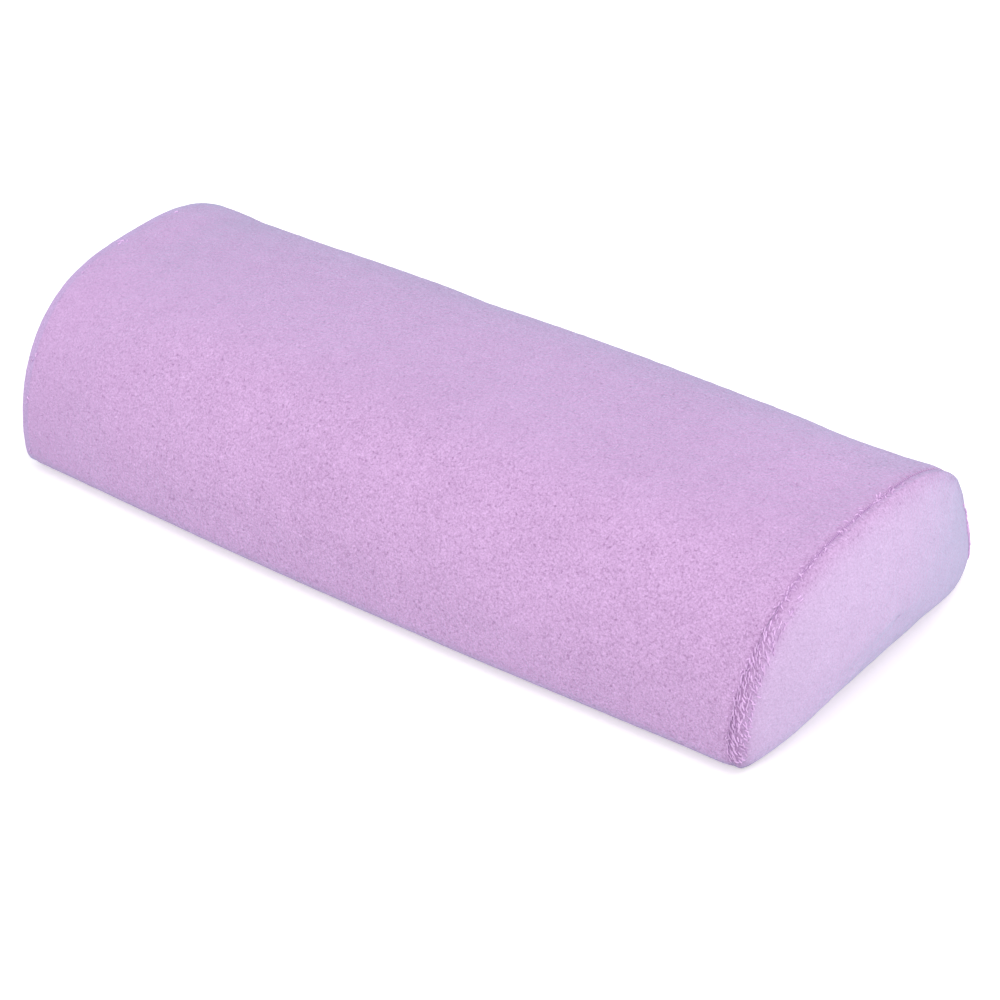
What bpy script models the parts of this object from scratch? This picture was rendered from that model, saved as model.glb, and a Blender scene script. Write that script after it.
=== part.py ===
"""Manicure hand rest: a half-column of foam in a sewn towelling cover.

The cover is one wrap that goes all the way round the foam, and two pillowed end panels.
The wrap's two hemmed edges meet under the cushion at a zip, so the cover comes off to be
washed. Metres, +Z up. The origin is the centre of the base and +X runs along the cushion.
"""
import math

import bmesh
import bpy

# Cushion: outside sizes of the filled cover
overall_length = 0.300
base_width = 0.118
belly = 0.007
crown_height = 0.0555
base_corner_radius = 0.007
side_wall_height = 0.001
arch_roundness_across = 2.8
arch_roundness_up = 1.9

# Ends: a pillow that bulges past each seam, and the seam that leans out towards the top
end_bulge = 0.0132
end_shoulder = 0.0024
end_setback = 0.0005
end_bulge_height = 0.0233
end_roundness_across = 2.2
end_roundness_out = 1.2
seam_lean = 0.0046
seam_depth = 0.0010
wrap_shoulder = 0.0060

# Cloth, thread and foam
fabric_thickness = 0.0025
thread_diameter = 0.0006
seam_gap = 0.0003
foam_clearance = 0.0004

# Hems and the opening under the cushion
hem_width = 0.0080
zip_opening = 0.2250
closed_hem_gap = 0.0006
hem_taper = 0.0030

# Zip, a coil zip for cushions
fit_gap = 0.0003
zip_floor_clearance = 0.0010
tape_thickness = 0.0005
tape_slope_width = 0.0025
tape_tail = 0.0120
coil_width = 0.0026
coil_height = 0.0015
coil_end_clearance = 0.0005
slider_length = 0.0110
slider_plate = 0.0010
slider_post_width = 0.0010
slider_flange = 0.0006
slider_side_clearance = 0.0007
slider_end_clearance = 0.0010
bail_thickness = 0.0006
bail_width = 0.0020
bail_length = 0.0050
pull_thickness = 0.0010
pull_play = 0.0005
pull_reach = 0.0180
pull_width = 0.0050
pull_rail = 0.0009
pull_corner = 0.0012

# Smoothness of the curved surfaces
arch_segments = 24
corner_segments = 4
body_steps = 5
shoulder_steps = (0.0, 0.3, 1.0)
bulge_scales = (0.95, 0.84, 0.66, 0.42, 0.18)
thread_bevel_resolution = 1

# Colours, linear
towelling_colour = (0.64, 0.40, 0.74)
end_towelling_colour = (0.69, 0.51, 0.83)
thread_colour = (0.56, 0.36, 0.68)
foam_colour = (0.86, 0.84, 0.76)
tape_colour = (0.60, 0.42, 0.72)
coil_colour = (0.66, 0.52, 0.76)
slider_colour = (0.62, 0.56, 0.70)

# Cushion: worked out
seam_x = overall_length / 2 - end_bulge - end_shoulder
lean_start_x = overall_length / 4
spring_height = base_corner_radius + side_wall_height
foam_inset = fabric_thickness + foam_clearance
hem_top = 2 * fabric_thickness

# Zip: heights above the base, from the floor up
bail_top = zip_floor_clearance + bail_thickness
pull_low = bail_top + pull_play
pull_top = pull_low + pull_thickness
hinge_height = (pull_low + pull_top) / 2
plate_low = pull_top + pull_play
plate_top = plate_low + slider_plate
coil_low = plate_top + fit_gap
coil_top = coil_low + coil_height
tape_middle = coil_top + fit_gap
tape_at_hem = hem_top + fit_gap
top_plate_low = tape_middle + tape_thickness + fit_gap
top_plate_top = top_plate_low + slider_plate
groove_ceiling = top_plate_top + foam_clearance

# Zip: distances from the middle of the slit
coil_inner = slider_post_width / 2 + fit_gap
coil_outer = coil_inner + coil_width
flange_inner = coil_outer + fit_gap
slider_half_width = flange_inner + slider_flange
slit_half = slider_half_width + slider_side_clearance
tape_bend = slider_half_width + fit_gap
tape_foot = tape_bend + tape_slope_width
tape_outer = max(slit_half + hem_width, tape_foot + hem_width / 2)

# Zip: places along the cushion, with the slider at its closed end
slider_x = zip_opening / 2 - slider_end_clearance - slider_length / 2


def clear_scene():
    """Start from an empty scene."""
    for obj in list(bpy.data.objects):
        bpy.data.objects.remove(obj)


def material(name, colour, roughness, metallic=0.0):
    """One Principled finish for a sub-part."""
    finish = bpy.data.materials.new(name)
    finish.use_nodes = True
    shader = finish.node_tree.nodes["Principled BSDF"]
    shader.inputs["Base Color"].default_value = (*colour, 1.0)
    shader.inputs["Roughness"].default_value = roughness
    shader.inputs["Metallic"].default_value = metallic
    return finish


def add_object(name, mesh_builder, finish=None, smooth_angle=40):
    """Turn a bmesh into a named object with outward faces."""
    bmesh.ops.recalc_face_normals(mesh_builder, faces=mesh_builder.faces)
    mesh = bpy.data.meshes.new(name)
    mesh_builder.to_mesh(mesh)
    mesh_builder.free()
    mesh.shade_smooth()
    mesh.set_sharp_from_angle(angle=math.radians(smooth_angle))
    obj = bpy.data.objects.new(name, mesh)
    bpy.context.scene.collection.objects.link(obj)
    if finish:
        mesh.materials.append(finish)
    return obj


def combine(obj, tool, operation):
    """Cut a tool's shape out of an object, or join it on, and keep the tool out of the model."""
    boolean = obj.modifiers.new(tool.name, "BOOLEAN")
    boolean.operation = operation
    boolean.solver = "EXACT"
    boolean.object = tool
    tool.hide_render = True
    tool.display_type = "WIRE"


def move_origin(obj, place):
    """Put an object's origin at a place and leave its shape where it is."""
    for vertex in obj.data.vertices:
        vertex.co.x -= place[0]
        vertex.co.y -= place[1]
        vertex.co.z -= place[2]
    obj.location = place


def prism(outline, axis, low, high):
    """Extrude a closed outline along axis 0, 1 or 2; its points leave that coordinate out."""
    builder = bmesh.new()
    vertices = [builder.verts.new((*point[:axis], low, *point[axis:])) for point in outline]
    face = builder.faces.new(vertices)
    extruded = bmesh.ops.extrude_face_region(builder, geom=[face])
    moved = [item for item in extruded["geom"] if isinstance(item, bmesh.types.BMVert)]
    shift = [0.0, 0.0, 0.0]
    shift[axis] = high - low
    bmesh.ops.translate(builder, verts=moved, vec=shift)
    return builder


def power(value, exponent):
    """A power that keeps its sign."""
    return math.copysign(abs(value) ** exponent, value)


def arch_outline(inset, extra_width):
    """The (y, z) points from the front of the base over the crown to the back of the base.

    inset moves the whole outline inwards. extra_width is the belly at this place.
    """
    half = (base_width + extra_width) / 2 - inset
    radius = max(base_corner_radius - inset, fabric_thickness / 4)
    rise = crown_height - inset - spring_height
    front = []
    for step in range(corner_segments + 1):
        angle = step / corner_segments * math.pi / 2
        y = -(half - radius) - radius * math.sin(angle)
        z = inset + radius - radius * math.cos(angle)
        front.append((y, z))
    arch = []
    for step in range(arch_segments + 1):
        angle = math.pi * (1 - step / arch_segments)
        y = half * power(math.cos(angle), 2 / arch_roundness_across)
        z = spring_height + rise * abs(math.sin(angle)) ** (2 / arch_roundness_up)
        arch.append((y, z))
    back = [(-y, z) for y, z in reversed(front)]
    return front + arch + back


def belly_at(x):
    """How much wider than its ends the cushion is at x."""
    along = min(abs(x) / (overall_length / 2), 1.0)
    return belly * (1 - along ** 2) ** 1.5


def leaning_x(x, z):
    """Lean the cushion's last quarters outwards towards the top, as the end seams do."""
    share = (abs(x) - lean_start_x) / (seam_x - lean_start_x)
    share = min(max(share, 0.0), 1.0)
    lean = seam_lean * (z - end_bulge_height) / crown_height
    return x + share * lean if x > 0 else x - share * lean


def place_ring(outline, x):
    """Stand an outline of (y, z) points up at x."""
    return [(leaning_x(x, z), y, z) for y, z in outline]


def shoulder_inset(step):
    """How deep the cloth lies at a share of its rounded shoulder, from the seam outwards."""
    return 1 - math.sqrt(1 - (1 - step) ** 2)


def wrap_stations():
    """Where along the cushion the wrap's sections stand, each with its inset."""
    end = seam_x - seam_gap / 2
    half = []
    for step in shoulder_steps:
        half.append((end - step * wrap_shoulder, seam_depth * shoulder_inset(step)))
    opening_end = zip_opening / 2
    half.append((opening_end + hem_taper, 0.0))
    half.append((opening_end, 0.0))
    for step in range(1, body_steps):
        half.append((opening_end * (1 - step / body_steps), 0.0))
    left = [(-x, inset) for x, inset in half]
    return left + [(0.0, 0.0)] + half[::-1]


def wrap_outline(x, inset):
    """The wrap's closed section: its outside, its two hems and its inside."""
    slit = slit_half if abs(x) <= zip_opening / 2 else closed_hem_gap / 2
    hem_end = slit + hem_width
    extra_width = belly_at(x)
    outside = arch_outline(inset, extra_width)
    inside = arch_outline(fabric_thickness, extra_width)
    back_hem = [(slit, inset), (slit, hem_top), (hem_end, hem_top), (hem_end, fabric_thickness)]
    front_hem = [(-y, z) for y, z in reversed(back_hem)]
    return outside + back_hem + inside[::-1] + front_hem


def bridge_rings(builder, rings):
    """Join rings of vertices with faces, each ring to the next."""
    for near, far in zip(rings, rings[1:]):
        count = len(near)
        for index in range(count):
            after = (index + 1) % count
            builder.faces.new((near[index], near[after], far[after], far[index]))


def close_with_tip(builder, ring, tip):
    """Close a ring with a fan of faces that meet in one point."""
    centre = builder.verts.new(tip)
    for index, vertex in enumerate(ring):
        builder.faces.new((vertex, ring[(index + 1) % len(ring)], centre))


def add_rings(builder, point_rings):
    """Add each ring's points as vertices."""
    return [[builder.verts.new(point) for point in ring] for ring in point_rings]


def make_wrap(finish):
    """The one piece of towelling that goes round the foam and is hemmed at the zip."""
    builder = bmesh.new()
    point_rings = [place_ring(wrap_outline(x, inset), x) for x, inset in wrap_stations()]
    rings = add_rings(builder, point_rings)
    bridge_rings(builder, rings)
    builder.faces.new(rings[0])
    builder.faces.new(rings[-1])
    return add_object("wrap_panel", builder, finish)


def bulge_rings(inset, bulge, side):
    """Rings of an end's bulge, from its widest line to near its tip, and the tip."""
    widest = seam_x + end_shoulder
    outline = arch_outline(inset, belly_at(seam_x))
    rings = []
    for scale in bulge_scales:
        out = (1 - scale ** end_roundness_across) ** (1 / end_roundness_out)
        x = side * (widest + bulge * out)
        ring = []
        for y, z in outline:
            ring.append((y * scale, end_bulge_height + (z - end_bulge_height) * scale))
        rings.append(place_ring(ring, x))
    return rings, (side * (widest + bulge), 0, end_bulge_height)


def make_end_panel(name, side, finish):
    """A D-shaped end panel, pillowed outwards by the foam behind it."""
    builder = bmesh.new()
    start = seam_x + seam_gap / 2
    widest = seam_x + end_shoulder
    width = belly_at(seam_x)
    outside = []
    for step in shoulder_steps:
        depth = end_setback + (seam_depth - end_setback) * shoulder_inset(step)
        x = start + step * (widest - start)
        outside.append(place_ring(arch_outline(depth, width), side * x))
    outer_bulge, outer_tip = bulge_rings(end_setback, end_bulge, side)
    inside = [place_ring(arch_outline(fabric_thickness, width), side * x) for x in (start, widest)]
    inner_bulge, inner_tip = bulge_rings(fabric_thickness, end_bulge - fabric_thickness, side)
    outer = add_rings(builder, outside + outer_bulge)
    inner = add_rings(builder, inside + inner_bulge)
    bridge_rings(builder, outer)
    bridge_rings(builder, inner)
    bridge_rings(builder, [outer[0], inner[0]])
    close_with_tip(builder, outer[-1], outer_tip)
    close_with_tip(builder, inner[-1], inner_tip)
    return add_object(name, builder, finish)


def groove_outline():
    """The section of the groove that the zip presses into the underside of the foam."""
    below = -fabric_thickness
    foot = max(tape_foot + foam_clearance, slider_half_width + 2 * foam_clearance)
    outer = max(tape_outer, slit_half + hem_width) + foam_clearance
    step = max(tape_at_hem + tape_thickness, hem_top) + foam_clearance
    ceiling_half = tape_bend + foam_clearance
    half = [(outer, below), (outer, step), (foot, step), (ceiling_half, groove_ceiling)]
    return half + [(-y, z) for y, z in reversed(half)]


def make_foam(finish):
    """The foam half-column, a little smaller than the cover all round."""
    builder = bmesh.new()
    widest = seam_x + end_shoulder
    middle = []
    for step in range(-body_steps, body_steps + 1):
        x = widest * step / body_steps
        middle.append(place_ring(arch_outline(foam_inset, belly_at(min(abs(x), seam_x))), x))
    left_bulge, left_tip = bulge_rings(foam_inset, end_bulge - foam_inset, -1)
    right_bulge, right_tip = bulge_rings(foam_inset, end_bulge - foam_inset, 1)
    rings = add_rings(builder, left_bulge[::-1] + middle + right_bulge)
    bridge_rings(builder, rings)
    close_with_tip(builder, rings[0], left_tip)
    close_with_tip(builder, rings[-1], right_tip)
    foam = add_object("foam_core", builder, finish)
    reach = overall_length / 2 + end_bulge
    groove = add_object("zip_groove_cutter", prism(groove_outline(), 0, -reach, reach))
    combine(foam, groove, "DIFFERENCE")
    return foam


def make_seam_thread(name, side, finish):
    """The sewing thread that runs round the bottom of an end seam."""
    radius = thread_diameter / 2
    path = place_ring(arch_outline(seam_depth - fit_gap - radius, belly_at(seam_x)), side * seam_x)
    curve = bpy.data.curves.new(name, "CURVE")
    curve.dimensions = "3D"
    spline = curve.splines.new("POLY")
    spline.points.add(len(path) - 1)
    for point, place in zip(spline.points, path):
        point.co = (*place, 1.0)
    spline.use_cyclic_u = True
    curve.bevel_depth = radius
    curve.bevel_resolution = thread_bevel_resolution
    curve.materials.append(finish)
    thread = bpy.data.objects.new(name, curve)
    bpy.context.scene.collection.objects.link(thread)
    return thread


def make_tape(name, side, finish):
    """A zip tape: sewn flat over the hem, and bowed up over the chain."""
    low = [
        (coil_inner, tape_middle),
        (tape_bend, tape_middle),
        (tape_foot, tape_at_hem),
        (tape_outer, tape_at_hem),
    ]
    high = [(y, z + tape_thickness) for y, z in reversed(low)]
    outline = [(side * y, z) for y, z in low + high]
    reach = zip_opening / 2 + tape_tail
    return add_object(name, prism(outline, 0, -reach, reach), finish)


def make_coil(name, side, finish):
    """One side of the zip chain, as the outer shape of its row of coil teeth."""
    round_off = coil_height / 4
    outline = [
        (coil_inner, coil_top),
        (coil_inner, coil_low + round_off),
        (coil_inner + round_off, coil_low),
        (coil_outer - round_off, coil_low),
        (coil_outer, coil_low + round_off),
        (coil_outer, coil_top),
    ]
    reach = zip_opening / 2 - coil_end_clearance
    outline = [(side * y, z) for y, z in outline]
    return add_object(name, prism(outline, 0, -reach, reach), finish)


def make_slider(finish):
    """The slider: two plates joined by a post, flanges round the chain and a bail below."""
    half = [
        (slider_half_width, plate_low),
        (slider_half_width, coil_top),
        (flange_inner, coil_top),
        (flange_inner, plate_top),
        (slider_post_width / 2, plate_top),
        (slider_post_width / 2, top_plate_low),
        (slider_half_width, top_plate_low),
        (slider_half_width, top_plate_top),
    ]
    outline = half + [(-y, z) for y, z in reversed(half)]
    x_low = slider_x - slider_length / 2
    x_high = slider_x + slider_length / 2
    slider = add_object("zip_slider", prism(outline, 0, x_low, x_high), finish)
    move_origin(slider, (slider_x, 0, hinge_height))
    return slider


def make_bail():
    """The arch under the slider that holds the pull, as a shape to join on."""
    outer = bail_length / 2
    inner = outer - bail_thickness
    root = plate_low + slider_plate / 2
    arch = [
        (slider_x - outer, root),
        (slider_x - outer, zip_floor_clearance),
        (slider_x + outer, zip_floor_clearance),
        (slider_x + outer, root),
        (slider_x + inner, root),
        (slider_x + inner, bail_top),
        (slider_x - inner, bail_top),
        (slider_x - inner, root),
    ]
    return add_object("zip_bail_joiner", prism(arch, 1, -bail_width / 2, bail_width / 2))


def make_pull(finish):
    """The pull: a flat tongue whose crossbar hangs in the bail, lying back along the zip."""
    bar = pull_thickness / 2
    near = slider_x + bar
    tip = slider_x - pull_reach
    half = pull_width / 2
    outline = [
        (near, -half),
        (near, half),
        (tip + pull_corner, half),
        (tip, half - pull_corner),
        (tip, -half + pull_corner),
        (tip + pull_corner, -half),
    ]
    pull = add_object("zip_pull", prism(outline, 2, pull_low, pull_top), finish)
    corner_reach = math.hypot(bail_length / 2, hinge_height - zip_floor_clearance)
    window_far = slider_x - corner_reach - pull_play
    window_half = half - pull_rail
    window_near = slider_x - bar
    window = [
        (window_far, -window_half),
        (window_near, -window_half),
        (window_near, window_half),
        (window_far, window_half),
    ]
    margin = pull_thickness
    cutter = add_object("pull_window_cutter", prism(window, 2, pull_low - margin, pull_top + margin))
    combine(pull, cutter, "DIFFERENCE")
    move_origin(pull, (slider_x, 0, hinge_height))
    return pull


def make_zip():
    """The whole zip, closed, with the pull parented to the slider."""
    tape = material("zip tape", tape_colour, 0.85)
    coil = material("nylon coil", coil_colour, 0.45)
    metal = material("painted zip metal", slider_colour, 0.35, 0.8)
    for place, side in (("front", -1), ("back", 1)):
        make_tape(f"zip_tape_{place}", side, tape)
        make_coil(f"zip_coil_{place}", side, coil)
    slider = make_slider(metal)
    combine(slider, make_bail(), "UNION")
    pull = make_pull(metal)
    pull.parent = slider
    pull.location = (0, 0, 0)


def make_cover():
    """The cover: wrap, end panels and the thread in the two end seams."""
    towelling = material("lilac towelling", towelling_colour, 0.95)
    end_towelling = material("end towelling", end_towelling_colour, 0.95)
    thread = material("lilac thread", thread_colour, 0.7)
    make_wrap(towelling)
    for place, side in (("left", -1), ("right", 1)):
        make_end_panel(f"end_panel_{place}", side, end_towelling)
        make_seam_thread(f"seam_thread_{place}", side, thread)


def main():
    clear_scene()
    make_foam(material("cushion foam", foam_colour, 0.9))
    make_cover()
    make_zip()


main()
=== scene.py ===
"""Looks of the manicure hand rest: looped towelling over foam, end seams and the zip below."""
import math

import bmesh
import bpy
import numpy as np
from mathutils import Matrix, Vector, noise


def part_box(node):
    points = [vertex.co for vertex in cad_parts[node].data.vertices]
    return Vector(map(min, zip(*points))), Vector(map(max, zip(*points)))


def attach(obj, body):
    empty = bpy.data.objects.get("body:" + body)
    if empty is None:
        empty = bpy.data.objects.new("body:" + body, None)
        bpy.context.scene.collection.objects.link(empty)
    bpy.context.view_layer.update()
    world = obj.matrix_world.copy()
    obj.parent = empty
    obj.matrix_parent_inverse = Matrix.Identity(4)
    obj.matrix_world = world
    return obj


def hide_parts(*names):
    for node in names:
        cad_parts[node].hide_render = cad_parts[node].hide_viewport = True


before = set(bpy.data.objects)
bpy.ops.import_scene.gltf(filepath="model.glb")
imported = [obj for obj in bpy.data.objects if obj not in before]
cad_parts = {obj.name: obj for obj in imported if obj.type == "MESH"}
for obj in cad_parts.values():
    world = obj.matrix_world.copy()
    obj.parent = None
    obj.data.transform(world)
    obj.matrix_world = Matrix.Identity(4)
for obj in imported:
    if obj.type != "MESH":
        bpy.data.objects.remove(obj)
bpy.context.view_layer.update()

# The cushion's sizes, from the frame, in metres
wrap_low, wrap_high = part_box("wrap_panel")
end_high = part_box("end_panel_right")[1]
coil_low, coil_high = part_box("zip_coil_back")
slider_low, slider_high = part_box("zip_slider")
pull_low, pull_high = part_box("zip_pull")
LENGTH = 2 * end_high.x
CROWN = wrap_high.z
MIDDLE_WIDTH = wrap_high.y - wrap_low.y
END_WIDTH = 2 * end_high.y + 0.001
BELLY_POWER = 1.5

# Shape of the section and of the ends, as the cover was cut
ACROSS = 2.8
UP = 1.9
CORNER = 0.007
BACK_FLAT = 0.0014
BACK_LOW = 0.006
BACK_HIGH = 0.044
SPRING = 0.008
BULGE = 0.0132
SHOULDER = 0.0024
SETBACK = 0.0004
BULGE_HEIGHT = 0.0233
LEFT_SHARE = 0.94
LEFT_SEAM = 0.1
BULGE_ACROSS = 2.2
BULGE_OUT = 1.2
BULGE_OVER = 1.4
BULGE_UNDER = 0.92
BULGE_NARROW = 1.25
LEAN = 0.0046
SEAM_BOW = 0.0010
# Widths and shares of the painted light on the towelling: how far the right end panel keeps its
# own colour beside the seam before it is painted lighter, how wide the painted shade in the seams'
# grooves and under the band of loops spreads, and how much painted shade and calmer grain the wrap
# gets at its far end and crest
RIM_WIDTH = 0.006
GAP_WIDTH = 0.0013
BAND_WIDTH = 0.0052
FAR_SHADE_AND_CALM = 0.9
CREST_SHADE_AND_CALM = 0.7
FAR_WIDTH = 0.05
CREST_FADE = 0.006
SEAM_DEPTH = 0.0005
WRAP_SHOULDER = 0.0030
CLOTH = 0.0025
SEAM_X = LENGTH / 2 - BULGE - SHOULDER
SEAM_GAP = 0.00008
WRAP_END = SEAM_X - SEAM_GAP / 2
LEFT_EDGE = -0.00003
LAST_RING = 0.985
LAST_INNER_RING = 0.1
FLAT_HEIGHT = 0.001

# The slit under the cushion
OPENING = coil_high.x - coil_low.x + 0.001
SLIT_HALF = slider_high.y + 0.0007
SLIT_CLOSED = 0.0004
SLIT_TAPER = 0.006
HEM = 0.0080
HEM_TOP = 2 * CLOTH
HEM_POINTS = 3

# Fineness of the cover's mesh
OUTER_COLUMNS = 300
OUTER_STATIONS = 280
INNER_COLUMNS = 70
INNER_STATIONS = 40
END_SECTORS = 300
END_RINGS = 64
INNER_RINGS = 10
CORNER_STEPS = 24
ARCH_STEPS = 240
FOLD_STEPS = 14
EASED = 0.14
NEARLY_ZERO = 1e-12
TOUCHING = 1e-6

# How the foam fills the cover out
COVER_CLOTH = {
    "quality": 6,
    "mass": 0.3,
    "tension_stiffness": 15,
    "compression_stiffness": 15,
    "bending_stiffness": 0.5,
    "shrink_min": -0.008,
    "shrink_max": -0.008,
    "use_pressure": True,
    "uniform_pressure_force": 4.0,
    "vertex_group_mass": "held",
}
CLOTH_CAP = 0.0008
CLOTH_SLACK = 0.0006
LOOSE_WIDTH = 0.012
END_SLACK = 0.0009
SHOULDER_SHARE = 0.10
CLOTH_FRAMES = 20
SHEET_COLUMNS = 80
SHEET_STATIONS = 62
SHEET_SECTORS = 72
SHEET_RINGS = 18
HELD_FREE = 0.05
HELD_RINGS = 0.15
HELD_HEIGHT = 0.002
FOAM_DRAWN_IN = 0.0030
DRAWN_FROM = 0.100
DRAWN_TO = 0.130

# Relief of the pile: how wide and how high each kind of unevenness is
PILE_RELIEF = ((0.0024, 0.00012), (0.009, 0.00010), (0.045, 0.00025))
PILE_BASE = 0.0005
PILE_RISE = 0.003
END_PILE = 0.8
WRAP_SEED = 3.0
END_SEED = 5.0
SHELL_ANGLE = math.radians(50)
EDGE_ANGLE = math.radians(40)

# Shade in the seams' gaps and under the band of loops
WRAP_SHADE = 0.14
END_SHADE = 0.16
BAND_SHADE = 0.52
BAND_LOW = 1.25
BAND_REACH = 0.81

# Pile loops beside the seams
SEAM_STATIONS = 40
END_LOOP_ROWS = (-0.0004, 0.0005, 0.0014, 0.0023, 0.0032, 0.0041, 0.0050)
WRAP_LOOP_ROWS = (-0.0002, 0.0007)
LOOP_PITCH = 0.00155
LOOP_STRAY = 0.14
LOOP_CLUSTER = 0.006
LOOP_SHORT = 0.0014
LOOP_LONG = 0.0022
LOOP_SLANT = 1.12
LOOP_SUNK = 0.00016
LOOP_THIN = 0.00021
LOOP_THICK = 0.00020
LOOP_STEPS = 6
LOOP_SEED = 11
LOOP_RISE = (0.00028, 0.00038)
LOOP_FLOOR = 0.0006
LOOP_UNEVEN = (0.9, 1.1)
LOOP_TIP = 0.45
LENGTH_SPREAD = (0.85, 1.0)
SLANT_SPREAD = 0.6
SLANT_CALM = 0.36
FEW_USUAL = 0.8
FEW_CLUSTER = 2.2
BAND_FOOT = 0.0062
BAND_TOP = 0.052
BAND_TOP_BEHIND = 0.030
FEW_REACH = 0.020
FEW_RIGHT = (1.0, 0.6)
FEW_LEFT = (0.08, 0.12)
FEW_FADE = 0.010
BAND_FADE = 0.014

# The zip's metal and teeth
PLATE_LOW = 0.0036
PLATE_TOP = 0.0046
COIL_TOP = 0.0064
FLANGE = 0.0006
COIL_PITCH = 0.00125
COIL_STEPS = 12
COIL_WIRE = 0.00034
COIL_HEAD = 0.00062
COIL_BUMP = 0.22
TUBE_STEEP = 0.8
WIRE_SIDES = 6
SLIDER_X = (slider_low.x + slider_high.x) / 2
PLATE_EDGE = 0.00028
THIN_EDGE = 0.00018
SUNK = 0.0004
CLEAR = 0.01
WALL_START = 0.0022
WALL_STOP = 0.0012
BAIL_REACH = 0.0025
BAIL_WIDTH = 0.0020
BAIL_HOLE = 0.0019
BAIL_STEPS = 40
BAIL_SUNK = 0.0005
BAIL_EDGE = 0.00016
POST_START = 0.0045
POST_WIDEST = 0.0028
POST_HALF = 0.0005
POST_UNDER = 0.0003
POST_OVER = 0.0006
POST_TAPER = 0.4
RIB_PLACE = 0.0022
RIB_LONG = 0.0022
RIB_HALF = 0.0004
RIB_PROUD = 0.00012
RIB_EDGE = 0.0001
WAIST = 0.0068
WAIST_SHARE = 0.74
CORNER_REACH = 0.0005
WINDOW_FAR = 0.00347
WINDOW_NEAR = 0.0005
WINDOW_HALF = 0.0016
REST_DEPTH = 0.00022
REST_MARGIN = 0.0012
REST_NEAR = 0.0085
REST_HALF = 0.0014

# Rounded corners of the metal: radius and steps
TAIL_CORNER = (0.0027, 8)
MOUTH_CORNER = (0.0015, 6)
TIP_CORNER = (0.0019, 8)
REST_CORNER = (0.0013, 8)
SMALL_CORNER = (0.0006, 4)
RIB_CORNER = (0.00035, 4)

# The hems' stitches
STITCH_PITCH = 0.0031
STITCH_WIRE = 0.0002
STITCH_Y = 0.0092
STITCH_LOW = 0.00015
GROOVE_DEPTH = 0.0008
GROOVE_WIDTH = 0.0010
GROOVE_PAST = 0.005
STITCH_PAST = 0.004
STITCH_GAP = 0.12
STITCH_SAG = 0.0009
STITCH_STEPS = 7
STITCH_SEED = 5

# Finishes, linear colours
TOWELLING = (0.638, 0.409, 0.690)
# The end panels are the wrap's towelling too: the right one's colour is painted lighter and paler
# for the light on it, the left one's is painted darker as shade
LIT_RIGHT_TOWELLING = (0.694, 0.525, 0.780)
SHADED_LEFT_TOWELLING = (0.572, 0.416, 0.684)
# The wrap's towelling painted darker, as painted shade at its crest and far left end
SHADED_WRAP_TOWELLING = (0.624, 0.406, 0.686)
# The loops' yarn: the towelling painted paler, as painted highlight on the loops
LIT_LOOP_YARN = (0.715, 0.475, 0.765)
LOOP = 0.00068
SHEEN_TINT = (0.22, 0.74, 0.82)
# The thread: the towelling's hue darkened, as painted shade in the seams' valleys and the hem
# grooves
SHADED_THREAD_TONES = ((0.40, 0.21, 0.46), (0.58, 0.36, 0.65))
TAPE_TONES = ((0.47, 0.31, 0.60), (0.62, 0.44, 0.75))
NYLON_TONES = ((0.60, 0.46, 0.71), (0.72, 0.58, 0.82))
METAL_TONES = ((0.56, 0.50, 0.64), (0.70, 0.66, 0.76))
FOAM_TONES = ((0.62, 0.58, 0.46), (0.88, 0.86, 0.78))

# Grain of the towelling: sizes in metres, and how strongly each shows
DRIFT_SIZE = 0.0021
DRIFT = 0.0011
WORM_SIZE = 0.00058
WORM_TWIST = 1.4
PATCH_SIZE = 0.007
FIELD_SIZE = 0.05
FLECK_SIZE = 0.0009
FLECK_EDGE = 0.66
PALE_FLECKS = 1.6
DARK_FLECKS = 2.0
CALM_GRAIN = 0.45
LOOP_EDGE = 0.62
LOOP_SHOWS = 1.1
WORM_SHOWS = 2.2
PATCH_SHOWS = 0.22
FIELD_SHOWS = 0.2
LOOP_RELIEF = 0.9
PATCH_RELIEF = 0.6

# Grain of the other finishes, in metres
FIBRE = 0.0003
TWIST = 0.0011
WEAVE = 0.0016
CLOUD = 0.003
PEEL = 0.0006
RUB = 0.004
CELL = 0.0011

# Stage and lights: name, place, size and power
FLOOR_WHITE = 0.82
FLOOR_GLOW = 0.42
FLOOR_SIZE = 6.0
FLOOR_DROP = 0.0002
WORLD_LIGHT = 0.73
LIGHTS = (
    ("key light", (0.36, 0.02, 1.32), 1.1, 7.0),
    ("side light", (1.44, -0.22, 0.55), 1.0, 4.8),
    ("left light", (-0.58, -0.78, 0.28), 0.6, 2.15),
)


class Wire:
    """A shader value that takes part in sums as a number does."""

    def __init__(self, graph, socket):
        self.graph = graph
        self.socket = socket

    def math(self, operation, first, second):
        return self.graph.add("ShaderNodeMath", {"operation": operation}, {0: first, 1: second})

    def __add__(self, other):
        return self.math("ADD", self, other)

    __radd__ = __add__

    def __sub__(self, other):
        return self.math("SUBTRACT", self, other)

    def __rsub__(self, other):
        return self.math("SUBTRACT", other, self)

    def __mul__(self, other):
        return self.math("MULTIPLY", self, other)

    __rmul__ = __mul__

    def above(self, floor):
        """How far the value is over floor, or 0."""
        return self.math("MAXIMUM", self - floor, 0.0)


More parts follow.
